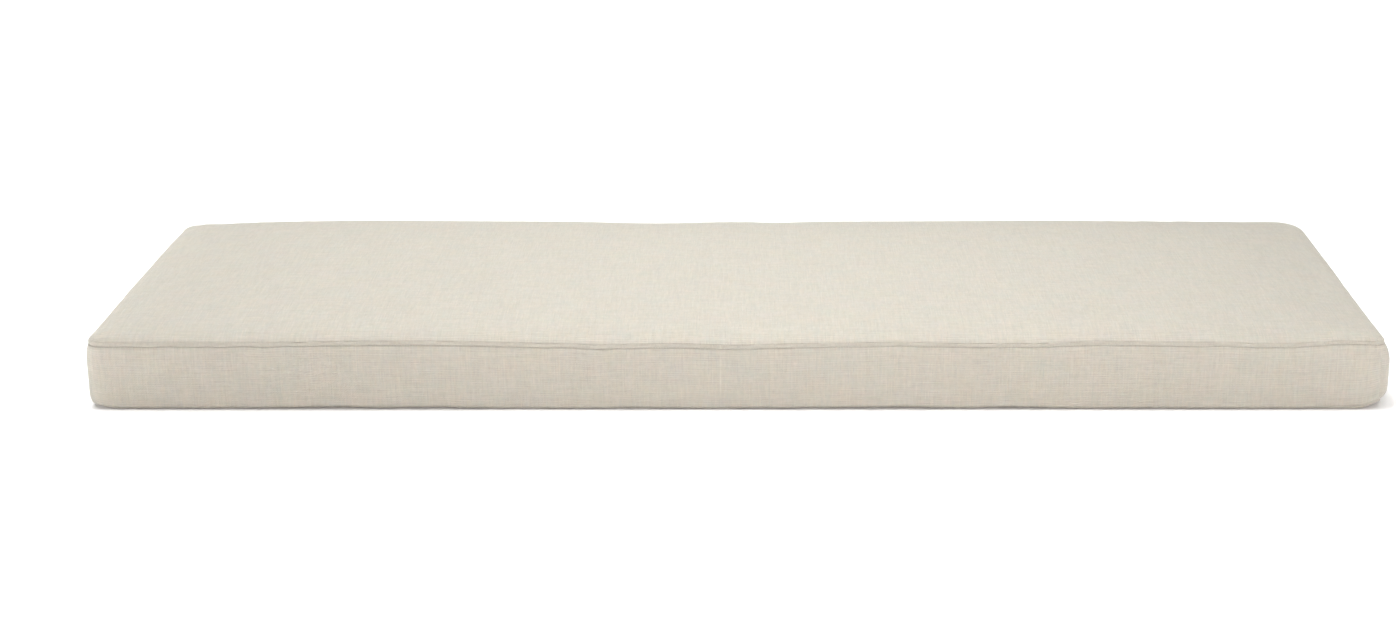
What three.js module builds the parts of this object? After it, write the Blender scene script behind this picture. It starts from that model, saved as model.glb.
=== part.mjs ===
import * as THREE from 'three';

// A sofa seat cushion, in millimetres. +X runs along its length, +Y to its back and +Z up.
// It rests on z = 0. One filled body has a top and a bottom panel joined by a boxing, and
// a thin self welt is sewn into the seam at the top and at the bottom of that boxing.

// Driving dimensions of the sewn cover

const LENGTH = 1831;
const DEPTH = 610;
const TOP_SEAM = 97.1;
const BOTTOM_SEAM = 2.9;

const HALF_LENGTH = LENGTH / 2;
const HALF_DEPTH = DEPTH / 2;

// The welt and the groove it lies in. The lips are where the panels turn into the groove.

const WELT_RADIUS = 1.6;
const WELT_OUT = 0;
const WELT_GAP = 0.35;
const WELT_SIDES = 6;
const LIP_HEIGHT = 1.8;
const LIP_IN = 1.4;
const GROOVE_ROOT = WELT_RADIUS + WELT_GAP - WELT_OUT;

// How far each seam strays from its height at the corners, and how fast that shows

const TOP_SAG = 1.1;
const BOTTOM_RISE = 0.9;
const SAG_REACH = 120;
const LIFT_REACH = 32;
const SEAM_FADE = 55;

// The boxing swells out between its seams, least at the corners, which have a plain seam

const CORNER_BULGE = 6;
const BULGE_REACH = 9;
const BULGE_FULLNESS = 5;
const CORNER_SEAM_DEPTH = 1.6;
const CORNER_SEAM_REACH = 1;

// The top panel rolls up from its seam and goes on rising into a low crown

const TOP_ROLL_WIDTH = 28;
const TOP_ROLL_HEIGHT = 6;
const TOP_ROLL_POWER = 2.2;
const CROWN = 16.8;
const CROWN_REACH_X = 82;
const CROWN_REACH_Y = 56;
const CROWN_START = 20;
const CROWN_START_POWER = 1.5;

// The bottom panel rolls down from its seam to the flat that the cushion rests on. The flat
// starts this many mesh lines in from the seam.

const BOTTOM_ROLL_WIDTH = 44;
const BOTTOM_ROLL_POWER = 1.2;
const FLAT_LINES = 5;

// Mesh steps. Those along a side grow from its corners, and are all even in the middle. The
// lines of a panel bow in by a little halfway along, so the flat has just four corners.

const LONG_STEPS = 46;
const SHORT_STEPS = 16;
const ARC_STEPS = 3;
const BOXING_STEPS = 8;
const FINEST_STEP = 0.16;
const STEP_GROWTH = 1.5;
const LINE_BOW = 0.8;

// The sides face these ways in degrees, and their boxings swell out by these amounts

const CORNER_HALF = 45;
const SIDES = [
  { name: 'front', from: 'frontLeft', to: 'frontRight', normal: -90, steps: LONG_STEPS, bulge: 6.5 },
  { name: 'right', from: 'frontRight', to: 'backRight', normal: 0, steps: SHORT_STEPS, bulge: 16 },
  { name: 'back', from: 'backRight', to: 'backLeft', normal: 90, steps: LONG_STEPS, bulge: 6.5 },
  { name: 'left', from: 'backLeft', to: 'frontLeft', normal: 180, steps: SHORT_STEPS, bulge: 8.6 },
];

// Each corner has a plan radius, and the bottom seam lifts off by this much at it

const CORNERS = {
  frontLeft: { signX: -1, signY: -1, diagonal: -135, radius: 20, lift: 4.8 },
  frontRight: { signX: 1, signY: -1, diagonal: -45, radius: 18, lift: 4.2 },
  backRight: { signX: 1, signY: 1, diagonal: 45, radius: 32, lift: 4.5 },
  backLeft: { signX: -1, signY: 1, diagonal: 135, radius: 36, lift: 4.5 },
};

// Soft waves of the sewn seams: where along its side, over what reach, and how high

const TOP_WAVES = [
  { side: 'front', at: -860, reach: 60, rise: -1.1 },
  { side: 'front', at: -540, reach: 60, rise: 1.2 },
  { side: 'front', at: -417, reach: 95, rise: 2.3 },
  { side: 'front', at: -184, reach: 50, rise: -2 },
  { side: 'front', at: -1, reach: 60, rise: -2.4 },
  { side: 'front', at: 224, reach: 80, rise: 1.9 },
  { side: 'front', at: 358, reach: 35, rise: -1.2 },
  { side: 'front', at: 513, reach: 60, rise: 2 },
  { side: 'front', at: 766, reach: 45, rise: -1.6 },
  { side: 'front', at: 872, reach: 40, rise: 2.4 },
  { side: 'right', at: 60, reach: 90, rise: 1.2 },
  { side: 'back', at: 482, reach: 170, rise: 2 },
  { side: 'back', at: 59, reach: 50, rise: -3 },
  { side: 'back', at: -143, reach: 95, rise: -4.6 },
  { side: 'back', at: -579, reach: 140, rise: 2.2 },
  { side: 'back', at: -890, reach: 90, rise: -4 },
  { side: 'left', at: 290, reach: 90, rise: -2.4 },
  { side: 'left', at: -70, reach: 80, rise: 1 },
];

const BOTTOM_WAVES = [
  { side: 'front', at: -584, reach: 60, rise: 1.8 },
  { side: 'front', at: -435, reach: 45, rise: 1.4 },
  { side: 'front', at: -279, reach: 60, rise: -0.7 },
  { side: 'front', at: -36, reach: 40, rise: -0.7 },
  { side: 'front', at: 218, reach: 75, rise: 1.5 },
  { side: 'front', at: 393, reach: 40, rise: 1.9 },
  { side: 'front', at: 497, reach: 35, rise: -0.5 },
  { side: 'front', at: 690, reach: 80, rise: -0.6 },
  { side: 'right', at: -90, reach: 80, rise: 1.2 },
  { side: 'back', at: 330, reach: 120, rise: 1.4 },
  { side: 'back', at: -260, reach: 90, rise: -0.6 },
  { side: 'left', at: 80, reach: 90, rise: 1.1 },
];

// The four sides differ in how far they swell, so the cover is moved to centre its outline

const bulgeOf = (name) => SIDES.find((side) => side.name === name).bulge;
const SHIFT_X = (bulgeOf('left') - bulgeOf('right')) / 2;
const SHIFT_Y = (bulgeOf('front') - bulgeOf('back')) / 2;

const radians = THREE.MathUtils.degToRad;
const faded = (distance, reach) => Math.exp(-Math.max(distance, 0) / reach);
const humped = (distance, reach) => Math.exp(-((distance / reach) ** 2));
const rolled = (share, power) => 1 - (1 - THREE.MathUtils.clamp(share, 0, 1)) ** power;

// Plan of the seams: a rectangle with round corners, walked counterclockwise from above

function cornerCentre(corner) {
  return {
    x: corner.signX * (HALF_LENGTH - corner.radius),
    y: corner.signY * (HALF_DEPTH - corner.radius),
  };
}

function onCorner(corner, degrees) {
  const centre = cornerCentre(corner);
  const nx = Math.cos(radians(degrees));
  const ny = Math.sin(radians(degrees));
  return { x: centre.x + nx * corner.radius, y: centre.y + ny * corner.radius, nx, ny };
}

function seamPoint(corner) {
  return onCorner(corner, corner.diagonal);
}

function cornerDistance(x, y) {
  const distances = Object.values(CORNERS).map((corner) => {
    const seam = seamPoint(corner);
    return Math.hypot(x - seam.x, y - seam.y);
  });
  return Math.min(...distances);
}

// Fractions from 0 to 1 that lie closer together towards both ends

function gradedFractions(count) {
  const widths = [];
  for (let i = 0; i < count; i += 1) {
    widths.push(Math.min(1, FINEST_STEP * STEP_GROWTH ** Math.min(i, count - 1 - i)));
  }
  const total = widths.reduce((sum, width) => sum + width, 0);
  const fractions = [0];
  widths.forEach((width) => fractions.push(fractions.at(-1) + width / total));
  return fractions;
}

// One side's stations, from the seam of its first corner to the seam of its second

function sideStations(side) {
  const first = CORNERS[side.from];
  const second = CORNERS[side.to];
  const firstTurn = side.normal - CORNER_HALF;
  const stations = [];
  for (let k = 0; k < ARC_STEPS; k += 1) {
    stations.push(onCorner(first, firstTurn + (CORNER_HALF * k) / ARC_STEPS));
  }
  const start = onCorner(first, side.normal);
  const end = onCorner(second, side.normal);
  gradedFractions(side.steps).forEach((share) => {
    stations.push({
      ...start,
      x: THREE.MathUtils.lerp(start.x, end.x, share),
      y: THREE.MathUtils.lerp(start.y, end.y, share),
    });
  });
  for (let k = 1; k <= ARC_STEPS; k += 1) {
    stations.push(onCorner(second, side.normal + (CORNER_HALF * k) / ARC_STEPS));
  }
  return stations.map((station) => ({ ...station, bulge: side.bulge }));
}

// Heights of the two seams. Each side's waves die away towards the middle of the panel.

function sideReadings(x, y) {
  return [
    { side: 'front', along: x, away: y + HALF_DEPTH },
    { side: 'right', along: y, away: HALF_LENGTH - x },
    { side: 'back', along: x, away: HALF_DEPTH - y },
    { side: 'left', along: y, away: x + HALF_LENGTH },
  ];
}

function wavesAt(waves, x, y) {
  let height = 0;
  sideReadings(x, y).forEach(({ side, along, away }) => {
    waves.filter((wave) => wave.side === side).forEach((wave) => {
      height += wave.rise * humped(along - wave.at, wave.reach) * faded(away, SEAM_FADE);
    });
  });
  return height;
}

function topSeamHeight(x, y) {
  const sag = TOP_SAG * (1 - faded(cornerDistance(x, y), SAG_REACH));
  return TOP_SEAM - sag + wavesAt(TOP_WAVES, x, y);
}

function bottomSeamHeight(x, y) {
  const rise = BOTTOM_RISE * (1 - faded(cornerDistance(x, y), SAG_REACH));
  const lift = Object.values(CORNERS).reduce((sum, corner) => {
    const seam = seamPoint(corner);
    return sum + corner.lift * humped(Math.hypot(x - seam.x, y - seam.y), LIFT_REACH);
  }, 0);
  return BOTTOM_SEAM + rise + lift + wavesAt(BOTTOM_WAVES, x, y);
}

// Distance from a point of the plan in to the seams

function inset(x, y) {
  const corner = Object.values(CORNERS).find(
    ({ signX, signY }) => (x >= 0) === (signX > 0) && (y >= 0) === (signY > 0),
  );
  const pastX = Math.abs(x) - (HALF_LENGTH - corner.radius);
  const pastY = Math.abs(y) - (HALF_DEPTH - corner.radius);
  const outside = Math.hypot(Math.max(pastX, 0), Math.max(pastY, 0));
  return corner.radius - outside - Math.min(Math.max(pastX, pastY), 0);
}

function topPanelHeight(x, y) {
  const within = Math.max(inset(x, y) - LIP_IN, 0);
  const roll = TOP_ROLL_HEIGHT * rolled(within / TOP_ROLL_WIDTH, TOP_ROLL_POWER);
  const crown = CROWN
    * (1 - faded(HALF_LENGTH - Math.abs(x), CROWN_REACH_X))
    * (1 - faded(HALF_DEPTH - Math.abs(y), CROWN_REACH_Y))
    * rolled(within / CROWN_START, CROWN_START_POWER);
  return topSeamHeight(x, y) + LIP_HEIGHT + roll + crown;
}

function bottomPanelHeight(x, y, linesIn) {
  if (linesIn >= FLAT_LINES) return 0;
  const within = Math.max(inset(x, y) - LIP_IN, 0);
  const remaining = 1 - rolled(within / BOTTOM_ROLL_WIDTH, BOTTOM_ROLL_POWER);
  return (bottomSeamHeight(x, y) - LIP_HEIGHT) * remaining;
}

// A closed loop of points at one offset out from the seams, with a height for each station

const sides = SIDES.map(sideStations);
const loop = sides.flatMap((stations) => stations.slice(0, -1)).map((station) => ({
  ...station,
  cornerDistance: cornerDistance(station.x, station.y),
  top: topSeamHeight(station.x, station.y),
  bottom: bottomSeamHeight(station.x, station.y),
}));

function ringAt(outOf, heightOf) {
  return loop.map((station) => new THREE.Vector3(
    station.x + station.nx * outOf(station),
    station.y + station.ny * outOf(station),
    heightOf(station),
  ));
}

function bulgeAt(station) {
  const grown = 1 - faded(station.cornerDistance, BULGE_REACH);
  const seamed = CORNER_SEAM_DEPTH * faded(station.cornerDistance, CORNER_SEAM_REACH);
  return CORNER_BULGE - seamed + (station.bulge - CORNER_BULGE) * grown;
}

function boxingRings() {
  const rings = [];
  for (let k = 0; k <= BOXING_STEPS; k += 1) {
    const share = k / BOXING_STEPS;
    const swell = 1 - Math.abs(2 * share - 1) ** BULGE_FULLNESS;
    rings.push(ringAt(
      (station) => bulgeAt(station) * swell - LIP_IN,
      ({ top, bottom }) => THREE.MathUtils.lerp(bottom + LIP_HEIGHT, top - LIP_HEIGHT, share),
    ));
  }
  return rings;
}

function bodyRings() {
  return [
    ringAt(() => -LIP_IN, ({ bottom }) => bottom - LIP_HEIGHT),
    ringAt(() => -GROOVE_ROOT, ({ bottom }) => bottom),
    ...boxingRings(),
    ringAt(() => -GROOVE_ROOT, ({ top }) => top),
    ringAt(() => -LIP_IN, ({ top }) => top + LIP_HEIGHT),
  ];
}

// Faces between neighbouring rings, wound to point out

function wallFaces(ringCount, closed) {
  const faces = [];
  const bands = closed ? ringCount : ringCount - 1;
  for (let band = 0; band < bands; band += 1) {
    const low = band * loop.length;
    const high = ((band + 1) % ringCount) * loop.length;
    for (let i = 0; i < loop.length; i += 1) {
      const next = (i + 1) % loop.length;
      faces.push([low + i, low + next, high + next], [low + i, high + next, high + i]);
    }
  }
  return faces;
}

// A panel is a grid stretched between its four sides. It shares the points of its ring.

const columns = sides[0].length - 1;
const rows = sides[1].length - 1;

function ringIndex(i, j) {
  if (j === 0) return i;
  if (i === columns) return columns + j;
  if (j === rows) return columns + rows + columns - i;
  return (2 * columns + 2 * rows - j) % loop.length;
}

function addPanel(points, ringStart, heightOf, facesUp) {
  const edge = (i, j) => points[ringStart + ringIndex(i, j)];
  const across = (i) => (edge(i, 0).x - edge(0, 0).x) / (edge(columns, 0).x - edge(0, 0).x);
  const deep = (j) => (edge(0, j).y - edge(0, 0).y) / (edge(0, rows).y - edge(0, 0).y);
  const indices = [];
  for (let j = 0; j <= rows; j += 1) {
    indices.push([]);
    for (let i = 0; i <= columns; i += 1) {
      if (i === 0 || j === 0 || i === columns || j === rows) {
        indices[j].push(ringStart + ringIndex(i, j));
      } else {
        const u = across(i);
        const v = deep(j);
        const blend = (axis) => THREE.MathUtils.lerp(edge(i, 0)[axis], edge(i, rows)[axis], v)
          + THREE.MathUtils.lerp(edge(0, j)[axis], edge(columns, j)[axis], u)
          - THREE.MathUtils.lerp(
            THREE.MathUtils.lerp(edge(0, 0)[axis], edge(columns, 0)[axis], u),
            THREE.MathUtils.lerp(edge(0, rows)[axis], edge(columns, rows)[axis], u),
            v,
          );
        const bowed = (share) => 4 * LINE_BOW * share * (1 - share);
        const x = blend('x') - (2 * u - 1) * bowed(v);
        const y = blend('y') - (2 * v - 1) * bowed(u);
        indices[j].push(points.length);
        const linesIn = Math.min(i, j, columns - i, rows - j);
        points.push(new THREE.Vector3(x, y, heightOf(x, y, linesIn)));
      }
    }
  }
  const faces = [];
  for (let j = 0; j < rows; j += 1) {
    for (let i = 0; i < columns; i += 1) {
      const [a, b] = [indices[j][i], indices[j][i + 1]];
      const [c, d] = [indices[j + 1][i + 1], indices[j + 1][i]];
      faces.push([a, b, c], [a, c, d]);
    }
  }
  return facesUp ? faces : faces.map(([a, b, c]) => [a, c, b]);
}

function solid(points, faces) {
  const geometry = new THREE.BufferGeometry().setFromPoints(points);
  geometry.setIndex(faces.flat());
  geometry.computeVertexNormals();
  return geometry;
}

// The filled body

function bodyGeometry() {
  const rings = bodyRings();
  const points = rings.flat();
  const topRing = (rings.length - 1) * loop.length;
  const walls = wallFaces(rings.length, false);
  const topPanel = addPanel(points, topRing, topPanelHeight, true);
  const bottomPanel = addPanel(points, 0, bottomPanelHeight, false);
  return solid(points, [...walls, ...topPanel, ...bottomPanel]);
}

// A welt is a thin closed loop of cord in the cover's own cloth

function weltGeometry(heightOf) {
  const rings = [];
  for (let k = 0; k < WELT_SIDES; k += 1) {
    const angle = radians((360 * (k + 0.5)) / WELT_SIDES);
    rings.push(ringAt(
      () => WELT_OUT + WELT_RADIUS * Math.cos(angle),
      (station) => heightOf(station) + WELT_RADIUS * Math.sin(angle),
    ));
  }
  return solid(rings.flat(), wallFaces(rings.length, true));
}

// The linen-like cloth, one colour on every piece

const cloth = { color: 0xdedace, roughness: 0.95, metalness: 0 };

function piece(name, geometry, look) {
  const mesh = new THREE.Mesh(geometry, new THREE.MeshStandardMaterial(look));
  mesh.name = name;
  mesh.position.set(SHIFT_X, SHIFT_Y, 0);
  return mesh;
}

const cushion = new THREE.Group();
cushion.add(piece('cushion', bodyGeometry(), cloth));
cushion.add(piece('welt_top', weltGeometry(({ top }) => top), cloth));
cushion.add(piece('welt_bottom', weltGeometry(({ bottom }) => bottom), cloth));

export default cushion;
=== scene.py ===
import math
from collections import namedtuple

import bpy
import numpy as np
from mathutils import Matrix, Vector


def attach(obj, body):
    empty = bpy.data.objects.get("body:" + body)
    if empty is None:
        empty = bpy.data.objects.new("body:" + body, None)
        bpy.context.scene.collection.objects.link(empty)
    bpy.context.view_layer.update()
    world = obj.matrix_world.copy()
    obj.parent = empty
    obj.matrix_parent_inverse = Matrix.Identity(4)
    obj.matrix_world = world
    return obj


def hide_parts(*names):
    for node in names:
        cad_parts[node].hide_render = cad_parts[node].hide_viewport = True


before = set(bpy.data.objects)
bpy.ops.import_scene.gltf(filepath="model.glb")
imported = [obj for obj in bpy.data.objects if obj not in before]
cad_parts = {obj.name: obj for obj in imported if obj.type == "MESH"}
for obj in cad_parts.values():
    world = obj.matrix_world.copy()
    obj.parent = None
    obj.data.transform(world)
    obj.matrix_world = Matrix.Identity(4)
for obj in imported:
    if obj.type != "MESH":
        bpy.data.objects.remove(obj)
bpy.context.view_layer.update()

# A long box-edge sofa seat cushion in an oatmeal linen-look cloth. Metres, +X along the
# cushion, +Y to its back and +Z up. The plan of the seams and their heights at the corners
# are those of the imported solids. The swell of the boxing, the crown and the waves of the
# seams differ from theirs by a few millimetres, and this script adds the welts in their
# slots, the puckers, folds and creases, and the cloth.

MM = 0.001

# Sewn cover

LENGTH = 1831 * MM
DEPTH = 610 * MM
TOP_SEAM = 97.1 * MM
BOTTOM_SEAM = 2.9 * MM
HALF_LENGTH = LENGTH / 2
HALF_DEPTH = DEPTH / 2

# Welts, flattened in their seams, as half a depth and half a height each. The top welt lies
# a little below its seam and sinks in on the short sides. The bottom welt is tucked in under
# the boxing, and comes out again near the front right corner.

WELT_DEEP = 1.7 * MM
TOP_WELT_TALL = 3.9 * MM
BOTTOM_WELT_TALL = 2.4 * MM
TOP_WELT_DROP = 1.3 * MM
WELT_OUT = 0.2 * MM
WELT_SUNK = 0.3 * MM
SUNK_REACH = 30 * MM
WELT_TUCKED = 1.2 * MM
SHOWN_REACH = 70 * MM
WELT_SIDES = 16
WELT_UNEVEN = 0.03
WELT_SHORTEST = 8 * MM
WELT_LONGEST = 50 * MM

# The slot that a welt lies in, and the lips of the panels and of the boxing that meet on it.
# Each slot and the lip past it take five rings of the mesh.

WELT_GAP = 0.2 * MM
SLOT_TUCK = 0.2 * MM
ROOT_HALF = 1.4 * MM
TURNED_RINGS = 5
TOP_LIP_HEIGHT = 1.8 * MM
TOP_LIP_OUT = 1.3 * MM
BOTTOM_LIP_HEIGHT = 2.4 * MM
BOTTOM_LIP_OUT = 0.1 * MM
BOXING_TOP_LIP = 3.3 * MM
RIGHT_LIP_RISE = 1 * MM
BOXING_BOTTOM_LIP = 1.6 * MM
BOXING_LIP_OUT = 1.7 * MM
OVERHANG = 1.4 * MM
OVERHANG_REACH = 7 * MM
OVERHANG_DROP = 2.4 * MM

# Seam heights between the corners

TOP_SAG = 1.1 * MM
BOTTOM_RISE = 0.9 * MM
SAG_REACH = 120 * MM
SEAM_FADE = 55 * MM

# Boxing, and where its cloth coordinates start

BULGE_REACH = 9 * MM
BULGE_FULLNESS = 6
BULGE_EASED = 3
CORNER_SEAM_DEPTH = 2.4 * MM
CORNER_SEAM_REACH = 1.9 * MM
BOXING_CLOTH = 100 * MM
WALL_CLOTH_START = 10

# Top and bottom panels

TOP_ROLL_WIDTH = 28 * MM
TOP_ROLL_HEIGHT = 4 * MM
TOP_ROLL_POWER = 2.2
EDGE_ROLL_WIDTH = 9 * MM
EDGE_ROLL_HEIGHT = 3.0 * MM
EDGE_ROLL_POWER = 2.6
LEFT_ROLL_HEIGHT = 1.5 * MM
LEFT_ROLL_REACH = 30 * MM
CROWN = 14.2 * MM
CROWN_REACH_X = 82 * MM
CROWN_REACH_Y = 56 * MM
CROWN_START = 20 * MM
CROWN_START_POWER = 1.5
BOTTOM_ROLL_WIDTH = 44 * MM
BOTTOM_ROLL_POWER = 1.2

# Mesh steps: along a long and a short side, finest at its ends, round half a corner, in
# degrees and in steps, and up the boxing

LONG_STEPS = 320
SHORT_STEPS = 84
LONG_FINEST, LONG_GROWTH = 0.25, 1.12
SHORT_FINEST, SHORT_GROWTH = 0.2, 1.09
CORNER_HALF = 45
ARC_STEPS = 8
BOXING_STEPS = 22

# The sides, counterclockwise from above, with the corners before and after each, the degrees
# that it faces and the swell of its boxing

Side = namedtuple("Side", "name before after facing steps swell")
SIDES = [
    Side("front", "front_left", "front_right", -90, LONG_STEPS, 4.8 * MM),
    Side("right", "front_right", "back_right", 0, SHORT_STEPS, 13.8 * MM),
    Side("back", "back_right", "back_left", 90, LONG_STEPS, 4.8 * MM),
    Side("left", "back_left", "front_left", 180, SHORT_STEPS, 6.6 * MM),
]

# The corners: degrees of the diagonal, plan radius, lift of the bottom seam and how far that
# reaches, and bulge of the boxing

Corner = namedtuple("Corner", "sign_x sign_y diagonal radius lift lift_reach bulge")
CORNERS = {
    "front_left": Corner(-1, -1, -135, 20 * MM, 5 * MM, 20 * MM, 5.4 * MM),
    "front_right": Corner(1, -1, -45, 18 * MM, 8.5 * MM, 18 * MM, 6 * MM),
    "back_right": Corner(1, 1, 45, 52 * MM, 4.5 * MM, 32 * MM, 16 * MM),
    "back_left": Corner(-1, 1, 135, 36 * MM, 4.5 * MM, 32 * MM, 7 * MM),
}

# The right end swells out more than the left, so the cover is moved to centre its outline

SHIFT = np.array([-3.7 * MM, 0, 0])

# Soft waves of the seams: side, place along it, reach and rise, in millimetres

TOP_WAVES = [
    ("front", -840, 70, 0.3),
    ("front", -560, 200, 1.7),
    ("front", -540, 60, 1.2),
    ("front", -417, 95, 2.3),
    ("front", -184, 50, -2),
    ("front", -1, 60, -2.4),
    ("front", 224, 80, 1.9),
    ("front", 358, 35, -0.1),
    ("front", 513, 60, 2),
    ("front", 600, 150, 1.7),
    ("front", 766, 45, -1.6),
    ("front", 860, 55, 3.4),
    ("right", 60, 90, 1.2),
    ("back", 482, 170, 2),
    ("back", 59, 50, -3),
    ("back", -143, 95, -4.6),
    ("back", -579, 140, 2.2),
    ("back", -890, 90, -4),
    ("left", 290, 90, -2.4),
    ("left", -70, 80, 1),
]
BOTTOM_WAVES = [
    ("front", -584, 60, 1.8),
    ("front", -435, 45, 1.4),
    ("front", -279, 60, -0.7),
    ("front", -36, 40, -0.7),
    ("front", 218, 75, 1.5),
    ("front", 393, 40, 1.9),
    ("front", 497, 35, -0.5),
    ("front", 690, 80, -0.6),
    ("right", -90, 80, 1.2),
    ("back", 330, 120, 1.4),
    ("back", -260, 90, -0.6),
    ("left", 80, 90, 1.1),
]

# Folds in the top panel that run in from the front corners: corner, degrees of the fold,
# distance of its start from the corner and its height, in millimetres

TOP_FOLDS = [
    ("front_left", 22, 10, -0.7),
    ("front_left", 40, 16, 0.6),
    ("front_left", 62, 12, -0.5),
    ("front_right", 172, 16, -0.8),
    ("front_right", 157, 22, 0.7),
    ("front_right", 139, 14, -0.6),
]
FOLD_LENGTH = 32 * MM
FOLD_START = 8 * MM
FOLD_WIDTH = 5 * MM
FOLD_BOW = 1.5

# Small unevenness: puckers that die away from a seam, broad soft dents, and a wobble of the
# seams

PUCKER = 0.2 * MM
PUCKER_SHORTEST = 10 * MM
PUCKER_LONGEST = 40 * MM
PUCKER_REACH = 9 * MM
PUCKER_START = 3 * MM
TOP_DENT = 0.35 * MM
TOP_DENT_SHORTEST = 160 * MM
TOP_DENT_LONGEST = 500 * MM
TOP_DENT_START = 120 * MM
BOXING_DENT = 0.3 * MM
BOXING_DENT_SHORTEST = 120 * MM
BOXING_DENT_LONGEST = 450 * MM
SEAM_WOBBLE = 0.2 * MM
WOBBLE_SHORTEST = 50 * MM
WOBBLE_LONGEST = 160 * MM

# Seeds of the unevenness. A panel's puckers take four of them, one for each side.

TOP_DENT_SEED = 11
TOP_PUCKER_SEED = 21
BOTTOM_PUCKER_SEED = 31
TOP_WOBBLE_SEED = 41
BOTTOM_WOBBLE_SEED = 42
BOXING_DENT_SEED = 51
BOXING_TOP_SEED = 61
BOXING_BOTTOM_SEED = 62
TOP_WELT_SEED = 71
BOTTOM_WELT_SEED = 72


def faded(distance, reach):
    return np.exp(-np.maximum(distance, 0) / reach)


def humped(distance, reach):
    return np.exp(-((distance / reach) ** 2))


def rolled(share, power):
    return 1 - (1 - np.clip(share, 0, 1)) ** power


# Uneven waves of a seam or a face, as a sum of random cosines with a fixed seed


def ripple(along, shortest, longest, seed, terms=14):
    rng = np.random.default_rng(seed)
    lengths = np.exp(rng.uniform(math.log(shortest), math.log(longest), terms))
    phases = rng.uniform(0, math.tau, terms)
    waves = np.cos(np.multiply.outer(along, math.tau / lengths) + phases)
    return waves.sum(-1) / math.sqrt(terms / 2)


def cloud(x, y, shortest, longest, seed, terms=24):
    rng = np.random.default_rng(seed)
    lengths = np.exp(rng.uniform(math.log(shortest), math.log(longest), terms))
    turns = rng.uniform(0, math.tau, terms)
    phases = rng.uniform(0, math.tau, terms)
    along = np.multiply.outer(x, np.cos(turns) / lengths)
    across = np.multiply.outer(y, np.sin(turns) / lengths)
    return np.cos(math.tau * (along + across) + phases).sum(-1) / math.sqrt(terms / 2)


# Plan of the seams: a place on a corner is its x and y and the way that it faces


def on_corner(name, degrees):
    corner = CORNERS[name]
    nx, ny = math.cos(math.radians(degrees)), math.sin(math.radians(degrees))
    x = corner.sign_x * (HALF_LENGTH - corner.radius) + nx * corner.radius
    y = corner.sign_y * (HALF_DEPTH - corner.radius) + ny * corner.radius
    return np.array([x, y, nx, ny])


def seam_point(name):
    return on_corner(name, CORNERS[name].diagonal)[:2]


def corner_distance(x, y):
    seams = [seam_point(name) for name in CORNERS]
    return np.min([np.hypot(x - seam[0], y - seam[1]) for seam in seams], axis=0)


def graded_fractions(count, finest, growth):
    place = np.arange(count)
    widths = np.minimum(1, finest * growth ** np.minimum(place, count - 1 - place))
    return np.concatenate([[0], np.cumsum(widths)]) / widths.sum()


def side_stations(side):
    is_long = side.steps == LONG_STEPS
    grading = (LONG_FINEST, LONG_GROWTH) if is_long else (SHORT_FINEST, SHORT_GROWTH)
    turns = CORNER_HALF * np.arange(ARC_STEPS) / ARC_STEPS
    before = [on_corner(side.before, side.facing - CORNER_HALF + turn) for turn in turns]
    start, end = on_corner(side.before, side.facing), on_corner(side.after, side.facing)
    run = [start + (end - start) * share for share in graded_fractions(side.steps, *grading)]
    after = [on_corner(side.after, side.facing + CORNER_HALF - turn) for turn in turns[::-1]]
    return np.array(before + run + after)


def waves_at(waves, x, y):
    readings = {
        "front": (x, y + HALF_DEPTH),
        "right": (y, HALF_LENGTH - x),
        "back": (x, HALF_DEPTH - y),
        "left": (y, x + HALF_LENGTH),
    }
    height = 0
    for side, at, reach, rise in waves:
        along, away = readings[side]
        height = height + rise * MM * humped(along - at * MM, reach * MM) * faded(away, SEAM_FADE)
    return height


def top_seam_height(x, y):
    sag = TOP_SAG * (1 - faded(corner_distance(x, y), SAG_REACH))
    return TOP_SEAM - sag + waves_at(TOP_WAVES, x, y)


def bottom_seam_height(x, y):
    rise = BOTTOM_RISE * (1 - faded(corner_distance(x, y), SAG_REACH))
    lift = 0
    for name, corner in CORNERS.items():
        seam = seam_point(name)
        distance = np.hypot(x - seam[0], y - seam[1])
        lift = lift + corner.lift * humped(distance, corner.lift_reach)
    return BOTTOM_SEAM + rise + lift + waves_at(BOTTOM_WAVES, x, y)


# Distance from a point of the plan out to the seams


def inset(x, y):
    radius = np.zeros_like(x)
    for corner in CORNERS.values():
        here = ((x >= 0) == (corner.sign_x > 0)) & ((y >= 0) == (corner.sign_y > 0))
        radius = np.where(here, corner.radius, radius)
    past_x = np.abs(x) - (HALF_LENGTH - radius)
    past_y = np.abs(y) - (HALF_DEPTH - radius)
    outside = np.hypot(np.maximum(past_x, 0), np.maximum(past_y, 0))
    return radius - outside - np.minimum(np.maximum(past_x, past_y), 0)


def puckers(along, away, seed):
    shape = faded(away, PUCKER_REACH) * (1 - faded(away, PUCKER_START))
    return PUCKER * ripple(along, PUCKER_SHORTEST, PUCKER_LONGEST, seed) * shape


def panel_puckers(x, y, seed):
    return (
        puckers(x, y + HALF_DEPTH, seed)
        + puckers(y, HALF_LENGTH - x, seed + 1)
        + puckers(x, HALF_DEPTH - y, seed + 2)
        + puckers(y, x + HALF_LENGTH, seed + 3)
    )


def corner_folds(x, y):
    depth = 0
    for name, degrees, start, fold in TOP_FOLDS:
        seam = seam_point(name)
        turn = math.radians(degrees)
        along = (x - seam[0]) * math.cos(turn) + (y - seam[1]) * math.sin(turn)
        aside = (y - seam[1]) * math.cos(turn) - (x - seam[0]) * math.sin(turn)
        length = humped(np.maximum(along - start * MM, 0), FOLD_LENGTH)
        length = length * humped(np.minimum(along - start * MM, 0), FOLD_START)
        depth = depth + fold * MM * humped(aside - FOLD_BOW * along**2, FOLD_WIDTH) * length
    return depth


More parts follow.
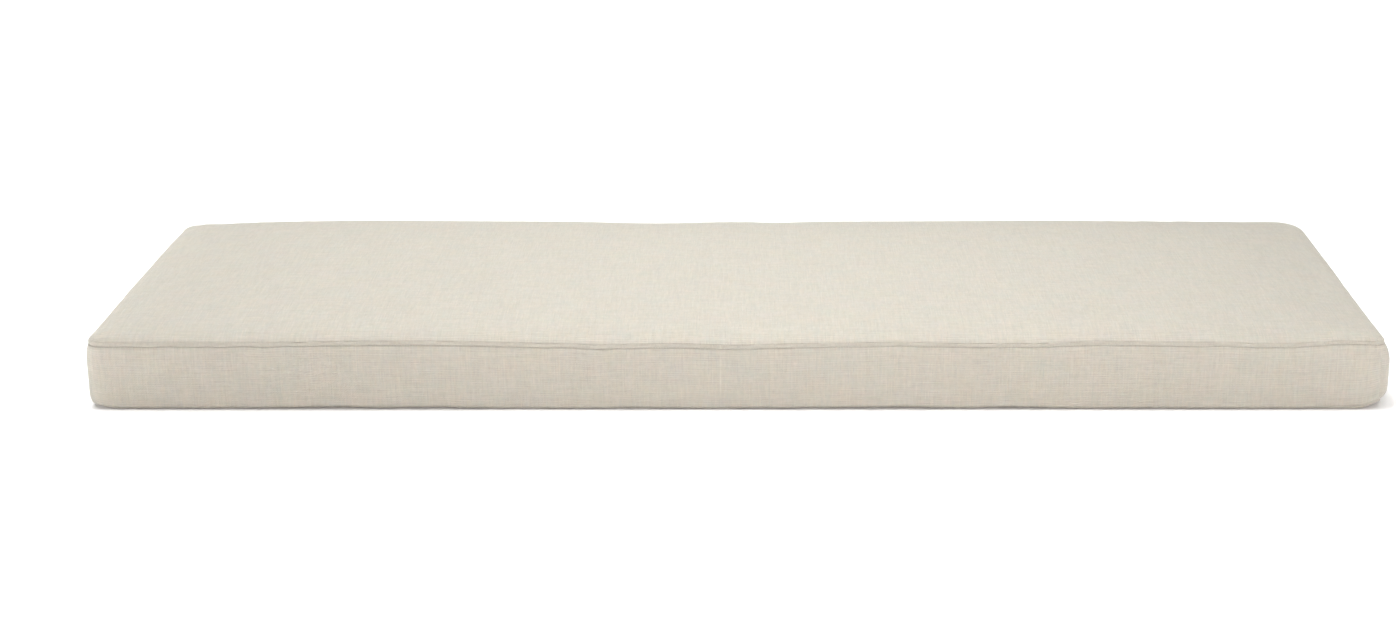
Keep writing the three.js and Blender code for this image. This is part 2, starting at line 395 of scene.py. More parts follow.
def top_panel_height(x, y):
    within = np.maximum(inset(x, y) + TOP_LIP_OUT, 0)
    roll = TOP_ROLL_HEIGHT * rolled(within / TOP_ROLL_WIDTH, TOP_ROLL_POWER)
    edge = EDGE_ROLL_HEIGHT + LEFT_ROLL_HEIGHT * faded(x + HALF_LENGTH, LEFT_ROLL_REACH)
    roll = roll + edge * rolled(within / EDGE_ROLL_WIDTH, EDGE_ROLL_POWER)
    crown = (
        CROWN
        * (1 - faded(HALF_LENGTH - np.abs(x), CROWN_REACH_X))
        * (1 - faded(HALF_DEPTH - np.abs(y), CROWN_REACH_Y))
        * rolled(within / CROWN_START, CROWN_START_POWER)
    )
    dents = TOP_DENT * cloud(x, y, TOP_DENT_SHORTEST, TOP_DENT_LONGEST, TOP_DENT_SEED)
    dents = dents * rolled(within / TOP_DENT_START, 1)
    height = top_seam_height(x, y) + TOP_LIP_HEIGHT + roll + crown + corner_folds(x, y)
    return height + dents + panel_puckers(x, y, TOP_PUCKER_SEED)


def bottom_panel_height(x, y):
    within = np.maximum(inset(x, y) + BOTTOM_LIP_OUT, 0)
    remaining = 1 - rolled(within / BOTTOM_ROLL_WIDTH, BOTTOM_ROLL_POWER)
    puckered = panel_puckers(x, y, BOTTOM_PUCKER_SEED)
    return (bottom_seam_height(x, y) - BOTTOM_LIP_HEIGHT + puckered) * remaining


# The loop of stations round the seams, and for each station its side, the distance to the
# nearest corner seam, and how far round the loop it is

side_rows = [side_stations(side) for side in SIDES]
loop = np.concatenate([stations[:-1] for stations in side_rows])
loop_side = np.repeat(np.arange(len(SIDES)), [len(stations) - 1 for stations in side_rows])
loop_swell = np.array([side.swell for side in SIDES])[loop_side]
loop_corner = corner_distance(loop[:, 0], loop[:, 1])
nearest_corner = np.argmin(
    [np.hypot(*(loop[:, :2] - seam_point(name)).T) for name in CORNERS], axis=0
)
loop_bulge = np.array([corner.bulge for corner in CORNERS.values()])[nearest_corner]
loop_step = np.hypot(*(np.roll(loop, -1, axis=0) - loop)[:, :2].T)
loop_length = loop_step.sum()
loop_along = np.cumsum(loop_step) - loop_step


# As ripple, with whole waves round the loop, so that its ends meet


def loop_ripple(shortest, longest, seed, terms=20):
    rng = np.random.default_rng(seed)
    cycles = rng.integers(int(loop_length / longest), int(loop_length / shortest), terms)
    phases = rng.uniform(0, math.tau, terms)
    turns = np.multiply.outer(loop_along / loop_length * math.tau, cycles)
    return np.cos(turns + phases).sum(-1) / math.sqrt(terms / 2)


def wobble(seed):
    return SEAM_WOBBLE * loop_ripple(WOBBLE_SHORTEST, WOBBLE_LONGEST, seed)


on_short_side = loop_side % 2 == 1
loop_top = top_seam_height(loop[:, 0], loop[:, 1]) + wobble(TOP_WOBBLE_SEED)
loop_bottom = bottom_seam_height(loop[:, 0], loop[:, 1]) + wobble(BOTTOM_WOBBLE_SEED)
loop_sunk = np.where(on_short_side, 1, faded(loop_corner, SUNK_REACH))
loop_shown = humped(np.hypot(*(loop[:, :2] - seam_point("front_right")).T), SHOWN_REACH)
top_welt_height = loop_top - TOP_WELT_DROP
top_welt_out = WELT_OUT - WELT_SUNK * loop_sunk
bottom_welt_out = WELT_OUT - WELT_TUCKED * (1 - loop_shown)


def ring_at(out, height):
    return np.column_stack([
        loop[:, 0] + loop[:, 2] * out,
        loop[:, 1] + loop[:, 3] * out,
        np.broadcast_to(height, len(loop)),
    ])


def boxing_rings():
    grown = 1 - faded(loop_corner, BULGE_REACH)
    seamed = CORNER_SEAM_DEPTH * faded(loop_corner, CORNER_SEAM_REACH)
    bulge = loop_bulge - seamed + (loop_swell - loop_bulge) * grown
    tucked = 1 - loop_shown
    rightward = np.clip(loop[:, 0] / HALF_LENGTH, 0, 1)
    low = loop_bottom + BOXING_BOTTOM_LIP - OVERHANG_DROP * tucked
    high = loop_top - BOXING_TOP_LIP + RIGHT_LIP_RISE * rightward
    dent_sizes = (BOXING_DENT_SHORTEST, BOXING_DENT_LONGEST)
    rings = []
    for share in np.linspace(0, 1, BOXING_STEPS + 1):
        eased = BULGE_EASED * loop_sunk if share > 0.5 else 0
        swell = 1 - abs(2 * share - 1) ** (BULGE_FULLNESS - eased)
        height = low + (high - low) * share
        dents = BOXING_DENT * cloud(loop_along, height, *dent_sizes, BOXING_DENT_SEED) * swell
        near_top = puckers(loop_along, high - height, BOXING_TOP_SEED)
        near_bottom = puckers(loop_along, height - low, BOXING_BOTTOM_SEED)
        overhang = OVERHANG * tucked * faded(height - low, OVERHANG_REACH)
        out = BOXING_LIP_OUT + (bulge - BOXING_LIP_OUT) * swell + overhang
        rings.append(ring_at(out + dents + near_top + near_bottom, height))
    return rings


def slot(places, heights, tall):
    root = places - WELT_DEEP - WELT_GAP
    edge = tall - SLOT_TUCK
    return [
        ring_at(places, heights - edge),
        ring_at(root, heights - ROOT_HALF),
        ring_at(root, heights + ROOT_HALF),
        ring_at(places, heights + edge),
    ]


def wall_faces(ring_count, closed):
    count = len(loop)
    here = np.arange(count)
    after = (here + 1) % count
    bands = []
    for band in range(ring_count if closed else ring_count - 1):
        low, high = band * count, (band + 1) % ring_count * count
        bands.append(np.column_stack([low + here, low + after, high + after, high + here]))
    return np.concatenate(bands)


# Cloth coordinates of the boxing and the welts, in metres. Each side starts afresh at its
# corner seam, one metre further on than the side before it.


def wall_cloth(levels):
    starts = np.array([loop_along[loop_side == k][0] for k in range(len(SIDES))])
    across = loop_along - starts[loop_side] + WALL_CLOTH_START + loop_side
    ends = across + loop_step
    bands = []
    for low, high in zip(levels[:-1], levels[1:]):
        corners = ((across, low), (ends, low), (ends, high), (across, high))
        band = [np.column_stack([u, np.full(len(loop), v)]) for u, v in corners]
        bands.append(np.stack(band, axis=1))
    return np.concatenate(bands)


# A panel is a grid stretched between its four sides, which are the points of its ring

COLUMNS = len(side_rows[0]) - 1
ROWS = len(side_rows[1]) - 1
EDGE_FRONT = np.arange(COLUMNS + 1)
EDGE_RIGHT = COLUMNS + np.arange(ROWS + 1)
EDGE_BACK = 2 * COLUMNS + ROWS - np.arange(COLUMNS + 1)
EDGE_LEFT = (2 * COLUMNS + 2 * ROWS - np.arange(ROWS + 1)) % len(loop)


def panel_grid(ring, height_of):
    front, right, back, left = (
        ring[ids] for ids in (EDGE_FRONT, EDGE_RIGHT, EDGE_BACK, EDGE_LEFT)
    )
    u = (front[:, 0] - front[0, 0]) / (front[-1, 0] - front[0, 0])
    v = (left[:, 1] - left[0, 1]) / (left[-1, 1] - left[0, 1])
    u, v = u[None, :, None], v[:, None, None]
    low, high = front[None, :, :2], back[None, :, :2]
    start, end = left[:, None, :2], right[:, None, :2]
    flat = (1 - v) * low + v * high + (1 - u) * start + u * end
    flat -= (1 - v) * ((1 - u) * low[:, :1] + u * low[:, -1:])
    flat -= v * ((1 - u) * high[:, :1] + u * high[:, -1:])
    height = height_of(flat[..., 0], flat[..., 1])
    grid = np.concatenate([flat, height[..., None]], axis=2)
    grid[0], grid[-1], grid[:, 0], grid[:, -1] = front, back, left, right
    return grid


def panel_cloth(grid):
    across = np.linalg.norm(np.diff(grid, axis=1), axis=2)
    across = np.concatenate([np.zeros((len(grid), 1)), np.cumsum(across, axis=1)], axis=1)
    deep = np.linalg.norm(np.diff(grid, axis=0), axis=2)
    deep = np.concatenate([np.zeros((1, grid.shape[1])), np.cumsum(deep, axis=0)], axis=0)
    across -= across[:, [COLUMNS // 2]]
    deep -= deep[[ROWS // 2], :]
    return np.stack([across, deep], axis=2)


def cell_corners(grid):
    return np.stack([grid[:-1, :-1], grid[:-1, 1:], grid[1:, 1:], grid[1:, :-1]], axis=2)


# The inner points of a panel, with its faces and their cloth coordinates


def panel(grid, first_free, ring_start, faces_up):
    index = np.zeros((ROWS + 1, COLUMNS + 1), dtype=int)
    inner = np.arange((ROWS - 1) * (COLUMNS - 1)).reshape(ROWS - 1, -1)
    index[1:-1, 1:-1] = first_free + inner
    index[0], index[:, -1] = ring_start + EDGE_FRONT, ring_start + EDGE_RIGHT
    index[-1], index[:, 0] = ring_start + EDGE_BACK, ring_start + EDGE_LEFT
    faces = cell_corners(index).reshape(-1, 4)
    cloth = cell_corners(panel_cloth(grid)).reshape(-1, 4, 2)
    if not faces_up:
        faces, cloth = faces[:, ::-1], cloth[:, ::-1]
    return grid[1:-1, 1:-1].reshape(-1, 3), faces, cloth


def mesh_object(name, points, faces, cloth):
    mesh = bpy.data.meshes.new(name)
    mesh.from_pydata(points.tolist(), [], faces.tolist())
    layer = mesh.uv_layers.new(name="cloth")
    layer.uv.foreach_set("vector", cloth.reshape(-1).astype(np.float32))
    mesh.shade_smooth()
    mesh.update()
    piece = bpy.data.objects.new(name, mesh)
    bpy.context.collection.objects.link(piece)
    return piece


# A coarser copy of the boxing and the top panel, as every second ring, station and panel
# line, is held along its seams and blown up as cloth. Only its folds are kept: the broad
# swell is taken off, since the shapes above already have it.

PRESSURE = 4
SETTLE_FRAMES = 20
SETTLE_QUALITY = 5
CLOTH_MASS = 0.3
CLOTH_STIFFNESS = 15
CLOTH_BENDING = 0.5
CLOTH_EASE = 0.002
FOLD_CAP = 1.2 * MM
ALONG_SPREAD = 5
ACROSS_SPREAD = 6


def spread_off(values, axis, spread, closed=False):
    place = np.arange(values.shape[axis])
    apart = np.abs(place[:, None] - place)
    if closed:
        apart = np.minimum(apart, len(place) - apart)
    weights = np.exp(-((apart / spread) ** 2) / 2)
    weights /= weights.sum(axis=1, keepdims=True)
    broad = np.tensordot(weights, np.moveaxis(values, axis, 0), axes=1)
    return values - np.moveaxis(broad, 0, axis)


# Twice the resolution: each new value weighs its nearest two by 9 / 16 and the next by -1 / 16


def between(before, here, after, beyond):
    return (9 * (here + after) - before - beyond) / 16


def refined(values, axis, closed=False):
    values = np.moveaxis(values, axis, 0)
    if closed:
        before, after, beyond = (np.roll(values, turn, axis=0) for turn in (1, -1, -2))
        finer = np.empty((2 * len(values), *values.shape[1:]))
        finer[1::2] = between(before, values, after, beyond)
    else:
        padded = np.concatenate([values[:1], values, values[-1:]])
        finer = np.empty((2 * len(values) - 1, *values.shape[1:]))
        finer[1::2] = between(padded[:-3], padded[1:-2], padded[2:-1], padded[3:])
    finer[::2] = values
    return np.moveaxis(finer, 0, axis)


def blown_up(points, faces, pinned):
    mesh = bpy.data.meshes.new("settling")
    mesh.from_pydata(points.tolist(), [], faces.tolist())
    piece = bpy.data.objects.new("settling", mesh)
    bpy.context.collection.objects.link(piece)
    piece.vertex_groups.new(name="seams").add(pinned.tolist(), 1, "REPLACE")
    settling = piece.modifiers.new("settling", "CLOTH")
    cloth = settling.settings
    cloth.quality = SETTLE_QUALITY
    cloth.mass = CLOTH_MASS
    cloth.tension_stiffness = CLOTH_STIFFNESS
    cloth.compression_stiffness = CLOTH_STIFFNESS
    cloth.shear_stiffness = CLOTH_STIFFNESS
    cloth.bending_stiffness = CLOTH_BENDING
    cloth.use_pressure = True
    cloth.uniform_pressure_force = PRESSURE
    cloth.shrink_min = -CLOTH_EASE
    cloth.vertex_group_mass = "seams"
    cloth.effector_weights.gravity = 0
    settling.collision_settings.use_collision = False
    settling.point_cache.frame_start = 1
    settling.point_cache.frame_end = SETTLE_FRAMES
    for step in range(1, SETTLE_FRAMES + 1):
        bpy.context.scene.frame_set(step)
    settled = piece.evaluated_get(bpy.context.evaluated_depsgraph_get())
    places = np.empty(3 * len(points), dtype=np.float32)
    settled.data.vertices.foreach_get("co", places)
    bpy.context.scene.frame_set(1)
    bpy.data.objects.remove(piece)
    bpy.data.meshes.remove(mesh)
    return places.reshape(-1, 3) - points


def capped(folds):
    size = np.linalg.norm(folds, axis=-1, keepdims=True)
    return folds * FOLD_CAP / (FOLD_CAP + size)


def settled_folds(boxing, lips, top_grid):
    walls = np.stack([lips[0], *boxing[::2], lips[1]])[:, ::2]
    levels, count = walls.shape[:2]
    grid = top_grid[::2, ::2]
    deep, wide = grid.shape[0] - 1, grid.shape[1] - 1
    index = np.zeros(grid.shape[:2], dtype=int)
    start = (levels - 1) * count
    inner = (deep - 1) * (wide - 1)
    index[1:-1, 1:-1] = levels * count + np.arange(inner).reshape(deep - 1, -1)
    index[0] = start + np.arange(wide + 1)
    index[:, -1] = start + wide + np.arange(deep + 1)
    index[-1] = start + 2 * wide + deep - np.arange(wide + 1)
    index[:, 0] = start + (2 * wide + 2 * deep - np.arange(deep + 1)) % count
    here = np.arange(count)
    after = (here + 1) % count
    low = np.arange(levels - 1)[:, None] * count
    around = np.stack([low + here, low + after, low + count + after, low + count + here], axis=2)
    points = np.concatenate([walls.reshape(-1, 3), grid[1:-1, 1:-1].reshape(-1, 3)])
    faces = np.concatenate([around.reshape(-1, 4), cell_corners(index).reshape(-1, 4)])
    seams = np.arange(2 * count)
    moved = blown_up(points, faces, np.concatenate([seams, start - count + seams]))
    boxing_moved = moved[:start + count].reshape(levels, count, 3)
    boxing_folds = spread_off(boxing_moved, 1, ALONG_SPREAD, True)
    top_folds = spread_off(spread_off(moved[index], 0, ACROSS_SPREAD), 1, ALONG_SPREAD)
    top_folds[[0, -1]] = top_folds[:, [0, -1]] = 0
    boxing_folds = refined(refined(boxing_folds[1:-1], 0), 1, True)
    top_folds = refined(refined(top_folds, 0), 1)
    return capped(boxing_folds), capped(top_folds)


def make_cushion():
    low_lip = ring_at(BOTTOM_LIP_OUT, loop_bottom - BOTTOM_LIP_HEIGHT)
    high_lip = ring_at(TOP_LIP_OUT, loop_top + TOP_LIP_HEIGHT)
    boxing = np.stack(boxing_rings())
    top_grid = panel_grid(high_lip, top_panel_height)
    bottom_grid = panel_grid(low_lip, bottom_panel_height)
    boxing_folds, top_folds = settled_folds(boxing, (low_lip, high_lip), top_grid)
    boxing = boxing + boxing_folds
    top_grid = top_grid + top_folds
    rings = [
        low_lip,
        *slot(bottom_welt_out, loop_bottom, BOTTOM_WELT_TALL),
        *boxing,
        *slot(top_welt_out, top_welt_height, TOP_WELT_TALL),
        high_lip,
    ]
    levels = np.linspace(-0.5, 0.5, BOXING_STEPS + 1) * BOXING_CLOTH
    turned = TOP_LIP_HEIGHT * np.arange(1, TURNED_RINGS + 1)
    levels = np.concatenate([levels[0] - turned[::-1], levels, levels[-1] + turned])
    walls = np.concatenate(rings)
    top, top_faces, top_cloth = panel(top_grid, len(walls), len(walls) - len(loop), True)
    bottom, bottom_faces, bottom_cloth = panel(bottom_grid, len(walls) + len(top), 0, False)
    points = np.concatenate([walls, top, bottom]) + SHIFT
    faces = np.concatenate([wall_faces(len(rings), False), top_faces, bottom_faces])
    cloth = np.concatenate([wall_cloth(levels), top_cloth, bottom_cloth])
    return mesh_object("seat_cushion", points, faces, cloth)


def make_welt(name, heights, places, tall, seed):
    rings, levels = [], []
    fullness = 1 + WELT_UNEVEN * loop_ripple(WELT_SHORTEST, WELT_LONGEST, seed)
    for k in range(WELT_SIDES):
        angle = math.tau * k / WELT_SIDES
        out = places + WELT_DEEP * fullness * math.cos(angle)
        rings.append(ring_at(out, heights + tall * fullness * math.sin(angle)))
        levels.append(angle * tall)
    levels.append(math.tau * tall)
    points = np.concatenate(rings) + SHIFT
    return mesh_object(name, points, wall_faces(WELT_SIDES, True), wall_cloth(levels))


# Materials


class Graph:
    def __init__(self, material):
        material.use_nodes = True
        self.tree = material.node_tree
        self.tree.nodes.clear()

    def node(self, kind, **settings):
        made = self.tree.nodes.new(kind)
        for key, value in settings.items():
            setattr(made, key, value)
        return made

    def put(self, socket, value):
        if isinstance(value, bpy.types.NodeSocket):
            self.tree.links.new(value, socket)
        else:
            socket.default_value = value

    def math(self, operation, a, b=0.0, c=0.0):
        made = self.node("ShaderNodeMath", operation=operation)
        for socket, value in zip(made.inputs, (a, b, c)):
            self.put(socket, value)
        return made.outputs[0]

    def vector(self, x, y, z):
        made = self.node("ShaderNodeCombineXYZ")
        for socket, value in zip(made.inputs, (x, y, z)):
            self.put(socket, value)
        return made.outputs[0]

    def noise(self, vector, scale, detail, roughness):
        made = self.node("ShaderNodeTexNoise", noise_dimensions="3D")
        self.put(made.inputs["Vector"], vector)
        self.put(made.inputs["Scale"], scale)
        self.put(made.inputs["Detail"], detail)
        self.put(made.inputs["Roughness"], roughness)
        return made.outputs["Fac"]

    def map(self, value, low, high, to_low, to_high):
        made = self.node("ShaderNodeMapRange", interpolation_type="LINEAR", clamp=True)
        for socket, number in zip(made.inputs, (value, low, high, to_low, to_high)):
            self.put(socket, number)
        return made.outputs["Result"]

    def blend(self, share, a, b):
        made = self.node("ShaderNodeMix", data_type="FLOAT")
        for socket, value in zip((made.inputs[0], made.inputs[2], made.inputs[3]), (share, a, b)):
            self.put(socket, value)
        return made.outputs[0]

    def offset(self, vector, by):
        made = self.node("ShaderNodeVectorMath", operation="ADD")
        self.put(made.inputs[0], vector)
        self.put(made.inputs[1], by)
        return made.outputs[0]

    def mix(self, share, a, b):
        made = self.node("ShaderNodeMix", data_type="RGBA", blend_type="MIX")
        self.put(made.inputs[0], share)
        self.put(made.inputs[6], a)
        self.put(made.inputs[7], b)
        return made.outputs[2]

    def scaled(self, colour, factor):
        made = self.node("ShaderNodeVectorMath", operation="SCALE")
        self.put(made.inputs[0], colour)
        self.put(made.inputs["Scale"], factor)
        return made.outputs[0]


# Cloth. Each yarn reads its tone and colour from a noise at its own place: its number times a
# step, the metres along it times a drift, and a layer. A noise is given as its scale, detail
# and roughness, and a range as its two ends.

YARN = 1.86 * MM
WARP_STEP, WARP_LAYER = 3.71, 1.3
WEFT_STEP, WEFT_LAYER = 4.13, 7.9
TONE_DRIFT = 25.0
TONE_NOISE = (1.0, 3.0, 0.85)
TONE_SHARED = 0.75
TONE_RANGE = (0.2, 1.0)
CONTRAST_RANGE = (0.72, 1.28)
PICK_TONE = 0.15

# One thicker, lighter yarn in the front boxing, which is at its full tone within the core
# share of its width and the ease share of its reach

SLUB_PLACE = WALL_CLOTH_START + 0.8893
SLUB_HEIGHT = 1 * MM
SLUB_REACH = 32 * MM
SLUB_EASE = 0.7
SLUB_WIDTH = 1.3 * MM
SLUB_CORE = 0.3
SLUB_TONE = 0.09

# Warm, cool, rose and moss fibres, in soft patches and in short runs along the yarns

WARM_YARN = (0.471, 0.417, 0.332, 1)
COOL_YARN = (0.406, 0.416, 0.391, 1)
ROSE_YARN = (0.465, 0.400, 0.375, 1)
MOSS_YARN = (0.412, 0.433, 0.349, 1)
WARP_RUN_STEP, WARP_RUN_LAYER = 1.3, 51.0
WEFT_RUN_STEP, WEFT_RUN_LAYER = 1.7, 73.0
RUN_DRIFT = 30.0
RUN_NOISE = (1.0, 3.0, 0.8)
RUN_SHARE = 0.5
PATCH_NOISE = (20.0, 5.0, 0.87)
ROSE_OFFSET = (3.1, 8.7, 2.2)
WARMTH_RANGE = (0.36, 0.64)
ROSE_RANGE = (0.34, 0.66)
TINTED_SHARE = 0.45

# Relief of the threads, and how it shades the cloth: through the bump, and as painted shade that
# darkens the cloth's colour in the dips between the threads

RELIEF_RANGE = (0.0, 0.8)
PAINTED_SHADE_RANGE = (0.95, 1.02)
PICK_RELIEF = 0.5
TONE_RELIEF = 4.0
FUZZ_NOISE = (2600.0, 2.0, 0.7)
FUZZ_RELIEF = 0.25
BUMP_STRENGTH = 0.7
BUMP_DISTANCE = 0.3 * MM
ROUGHNESS_RANGE = (0.97, 0.86)
SPECULAR = 0.25
SHEEN = 0.2
SHEEN_ROUGHNESS = 0.5
SHEEN_TINT = (1, 0.97, 0.9, 1)


def linen(name):
    material = bpy.data.materials.new(name)
    g = Graph(material)
    cloth = g.node("ShaderNodeUVMap", uv_map="cloth").outputs["UV"]
    split = g.node("ShaderNodeSeparateXYZ")
    g.put(split.inputs[0], cloth)
    u, v = split.outputs[0], split.outputs[1]
    u_yarn = g.math("DIVIDE", u, YARN)
    v_yarn = g.math("DIVIDE", v, YARN)
    warp = g.math("FLOOR", u_yarn)
    weft = g.math("FLOOR", v_yarn)
    over = g.math("ABSOLUTE", g.math("MODULO", g.math("ADD", warp, weft), 2.0))
    pick = g.math("ABSOLUTE", g.math("MODULO", weft, 2.0))

    def warp_at(step, drift, layer):
        return g.vector(g.math("MULTIPLY", warp, step), g.math("MULTIPLY", v, drift), layer)

    def weft_at(step, drift, layer):
        return g.vector(g.math("MULTIPLY", u, drift), g.math("MULTIPLY", weft, step), layer)

    # each yarn has its own tone, which drifts along it, and every second weft is lighter
    warp_place = warp_at(WARP_STEP, TONE_DRIFT, WARP_LAYER)
    weft_place = weft_at(WEFT_STEP, TONE_DRIFT, WEFT_LAYER)
    warp_tone = g.noise(warp_place, *TONE_NOISE)
    weft_tone = g.noise(weft_place, *TONE_NOISE)
    weft_tone = g.math("MULTIPLY_ADD", pick, PICK_TONE, weft_tone)
    single = g.blend(over, warp_tone, weft_tone)
    both = g.math("MULTIPLY", g.math("ADD", warp_tone, weft_tone), 0.5)
    tone = g.blend(TONE_SHARED, single, both)
    beside = g.math("ABSOLUTE", g.math("SUBTRACT", u, SLUB_PLACE))
    along = g.math("ABSOLUTE", g.math("SUBTRACT", v, SLUB_HEIGHT))
    slub = g.map(beside, SLUB_CORE * SLUB_WIDTH, SLUB_WIDTH, 1.0, 0.0)
    slub_length = g.map(along, SLUB_EASE * SLUB_REACH, SLUB_REACH, SLUB_TONE, 0.0)
    slub = g.math("MULTIPLY", slub, slub_length)
    contrast = g.math("ADD", g.map(tone, *TONE_RANGE, *CONTRAST_RANGE), slub)

    # threads crossing over and under each other, with painted shade darkening the colour in the
    # dips between them
    warp_round = g.math("ABSOLUTE", g.math("SINE", g.math("MULTIPLY", u_yarn, math.pi)))
    weft_round = g.math("ABSOLUTE", g.math("SINE", g.math("MULTIPLY", v_yarn, math.pi)))
    relief = g.blend(over, warp_round, weft_round)
    painted_thread_shade = g.map(relief, *RELIEF_RANGE, *PAINTED_SHADE_RANGE)

    # warm and cool, rose and moss fibres
    warp_run = warp_at(WARP_RUN_STEP, RUN_DRIFT, WARP_RUN_LAYER)
    weft_run = weft_at(WEFT_RUN_STEP, RUN_DRIFT, WEFT_RUN_LAYER)
    warmth = g.noise(cloth, *PATCH_NOISE)
    warmth = g.blend(RUN_SHARE, warmth, g.noise(warp_run, *RUN_NOISE))
    rose = g.noise(g.offset(cloth, ROSE_OFFSET), *PATCH_NOISE)
    rose = g.blend(RUN_SHARE, rose, g.noise(weft_run, *RUN_NOISE))
    beige = g.mix(g.map(warmth, *WARMTH_RANGE, 0.0, 1.0), WARM_YARN, COOL_YARN)
    tinted = g.mix(g.map(rose, *ROSE_RANGE, 0.0, 1.0), ROSE_YARN, MOSS_YARN)
    colour = g.mix(TINTED_SHARE, beige, tinted)
    # the colour takes the yarn tone and the painted shade of the dips between the threads
    colour = g.scaled(colour, g.math("MULTIPLY", contrast, painted_thread_shade))

    fuzz = g.noise(cloth, *FUZZ_NOISE)
    bump_height = g.math("MULTIPLY_ADD", pick, PICK_RELIEF, relief)
    bump_height = g.math("MULTIPLY_ADD", tone, TONE_RELIEF, bump_height)
    bump_height = g.math("MULTIPLY_ADD", fuzz, FUZZ_RELIEF, bump_height)
    bump = g.node("ShaderNodeBump")
    g.put(bump.inputs["Strength"], BUMP_STRENGTH)
    g.put(bump.inputs["Distance"], BUMP_DISTANCE)
    g.put(bump.inputs["Height"], bump_height)
    shader = g.node("ShaderNodeBsdfPrincipled")
    g.put(shader.inputs["Base Color"], colour)
    g.put(shader.inputs["Roughness"], g.map(relief, 0.0, 1.0, *ROUGHNESS_RANGE))
    g.put(shader.inputs["Specular IOR Level"], SPECULAR)
    g.put(shader.inputs["Sheen Weight"], SHEEN)
    g.put(shader.inputs["Sheen Roughness"], SHEEN_ROUGHNESS)
    g.put(shader.inputs["Sheen Tint"], SHEEN_TINT)
    g.put(shader.inputs["Normal"], bump.outputs["Normal"])
    out = g.node("ShaderNodeOutputMaterial")
    g.put(out.inputs["Surface"], shader.outputs["BSDF"])
    return material


def plain(name, colour, roughness):
    material = bpy.data.materials.new(name)
    g = Graph(material)
    shader = g.node("ShaderNodeBsdfPrincipled")
    g.put(shader.inputs["Base Color"], colour)
    g.put(shader.inputs["Roughness"], roughness)
    out = g.node("ShaderNodeOutputMaterial")
    g.put(out.inputs["Surface"], shader.outputs["BSDF"])
    return material


# Object

cushion = make_cushion()
cushion.data.materials.append(linen("cover_linen"))
welts = {
    "top_welt": make_welt(
        "top_welt", top_welt_height, top_welt_out, TOP_WELT_TALL, TOP_WELT_SEED
    ),
    "bottom_welt": make_welt(
        "bottom_welt", loop_bottom, bottom_welt_out, BOTTOM_WELT_TALL, BOTTOM_WELT_SEED
    ),
}
welt_linen = linen("welt_linen")
for welt in welts.values():
    welt.data.materials.append(welt_linen)

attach(cushion, "root")
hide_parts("cushion")
for name, node in (("top_welt", "welt_top"), ("bottom_welt", "welt_bottom")):
    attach(welts[name], "root")
    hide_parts(node)

# Stage

FLOOR_HALF = 30
FLOOR_COLOUR = (0.955, 0.955, 0.955, 1)
FLOOR_ROUGHNESS = 0.9
WORLD_COLOUR = (1, 1, 1, 1)
WORLD_STRENGTH = 0.178

floor_corners = [
    (sign_x * FLOOR_HALF, sign_y * FLOOR_HALF, 0)
    for sign_x, sign_y in ((-1, -1), (1, -1), (1, 1), (-1, 1))
]
floor_mesh = bpy.data.meshes.new("floor")
floor_mesh.from_pydata(floor_corners, [], [(0, 1, 2, 3)])
floor = bpy.data.objects.new("floor", floor_mesh)
bpy.context.collection.objects.link(floor)
floor_mesh.materials.append(plain("pale_floor", FLOOR_COLOUR, FLOOR_ROUGHNESS))

world = bpy.data.worlds.new("studio")
bpy.context.scene.world = world
world.use_nodes = True
world.node_tree.nodes["Background"].inputs["Color"].default_value = WORLD_COLOUR
world.node_tree.nodes["Background"].inputs["Strength"].default_value = WORLD_STRENGTH

# Lights: name, place, what it points at, size, power and colour. The floor lights shine
# straight down in a narrow spread beside the cushion, which keeps its contact shadow faint.

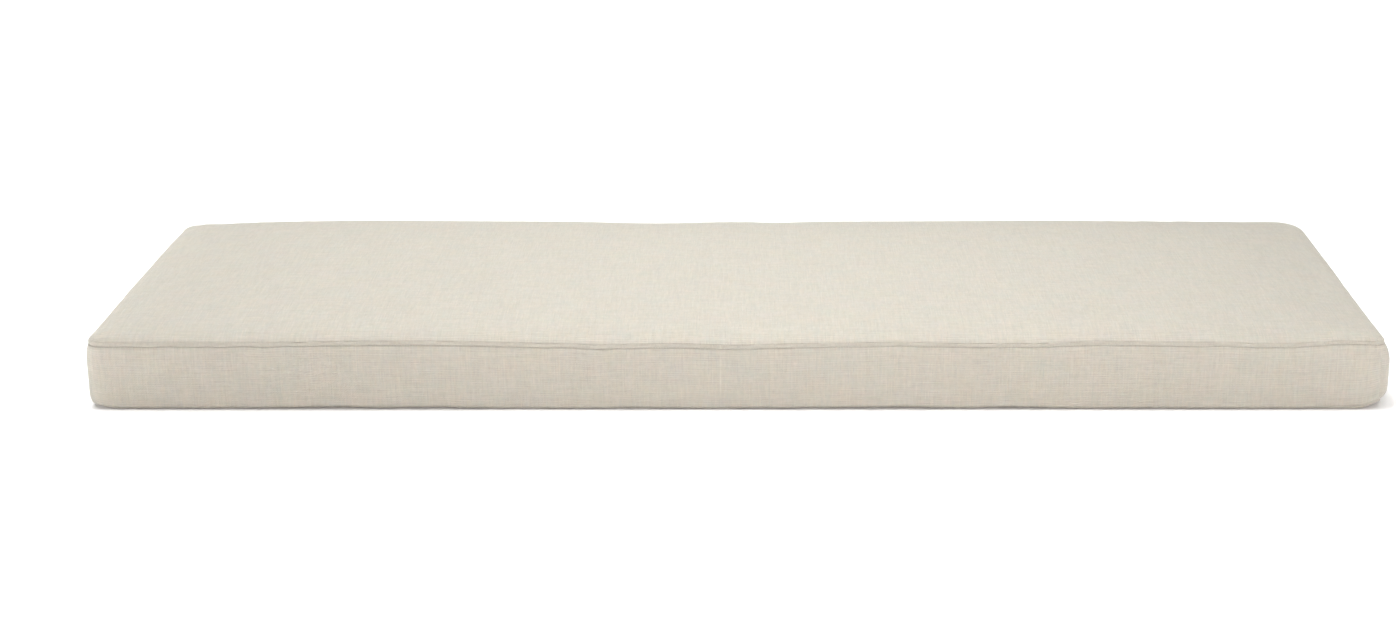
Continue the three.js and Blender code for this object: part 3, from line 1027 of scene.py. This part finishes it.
WHITE_LIGHT = (1, 1, 1)
WARM_LIGHT = (1, 0.92, 0.89)
LIGHTS = [
    ("ceiling", (0, 1, 4.5), (0, 1, 0), (12, 10), 102, WHITE_LIGHT),
    ("above", (0.2, -0.27, 1.9), (0.13, -0.08, 0.05), (1.2, 0.8), 34, WHITE_LIGHT),
    ("front_low", (0.4, -2.2, 0.25), (0.25, -0.3, 0.02), (2.6, 0.3), 5.5, WARM_LIGHT),
    ("front_wide", (0.35, -2.8, 1), (0.2, -0.2, 0.05), (4.5, 0.7), 50, WARM_LIGHT),
    ("front_right", (2.2, -1.9, 1.7), (0.3, 0, 0.05), (1.4, 1), 3.5, WHITE_LIGHT),
    ("left_end", (-2.6, -0.6, 0.5), (-0.95, -0.1, 0), (1.2, 0.5), 10, WHITE_LIGHT),
    ("right_end", (2.6, -0.5, 0.5), (0.95, -0.1, 0), (1.2, 0.5), 3, WHITE_LIGHT),
    ("back_left", (-1.4, 1.7, 2.4), (-0.1, 0, 0.05), (1.4, 1), 65, WHITE_LIGHT),
    ("backdrop", (0.8, 1.2, 1.9), (1.2, 5.5, 0), (6, 0.5), 130, WHITE_LIGHT),
]
FLOOR_LIGHTS = [
    ("front_floor", (0.1, -0.95, 0.8), (0.1, -0.95, 0), (2.6, 0.4), 4, WHITE_LIGHT),
    ("left_floor", (-1.45, -0.15, 0.9), (-1.45, -0.15, 0), (0.4, 1.4), 10, WHITE_LIGHT),
    ("right_floor", (1.45, -0.15, 0.9), (1.45, -0.15, 0), (0.4, 1.4), 10, WHITE_LIGHT),
]
FLOOR_LIGHT_SPREAD = 60


def area_light(name, place, target, size, power, colour):
    data = bpy.data.lights.new(name, "AREA")
    data.color = colour
    data.shape = "RECTANGLE"
    data.size, data.size_y = size
    data.energy = power
    light = bpy.data.objects.new(name, data)
    light.location = place
    aim = Vector(target) - Vector(place)
    light.rotation_euler = aim.to_track_quat("-Z", "Y").to_euler()
    light.visible_camera = False
    bpy.context.collection.objects.link(light)
    return light


for light in LIGHTS:
    area_light(*light)
for light in FLOOR_LIGHTS:
    area_light(*light).data.spread = math.radians(FLOOR_LIGHT_SPREAD)

# Camera

CAMERA_PLACE = (63.2 * MM, -3474.5 * MM, 1177.7 * MM)
CAMERA_PITCH = 18.136
PHOTO_WIDTH = 1398
FOCAL_PIXELS = 2378.2
CENTRE_PIXEL = 783.4
SENSOR = 36

camera_data = bpy.data.cameras.new("camera")
camera_data.sensor_width = SENSOR
camera_data.lens = FOCAL_PIXELS * SENSOR / PHOTO_WIDTH
camera_data.shift_x = (PHOTO_WIDTH / 2 - CENTRE_PIXEL) / PHOTO_WIDTH
camera = bpy.data.objects.new("camera", camera_data)
camera.location = CAMERA_PLACE
camera.rotation_euler = (math.radians(90 - CAMERA_PITCH), 0, 0)
bpy.context.collection.objects.link(camera)
bpy.context.scene.camera = camera
bpy.context.scene.view_settings.view_transform = "Standard"
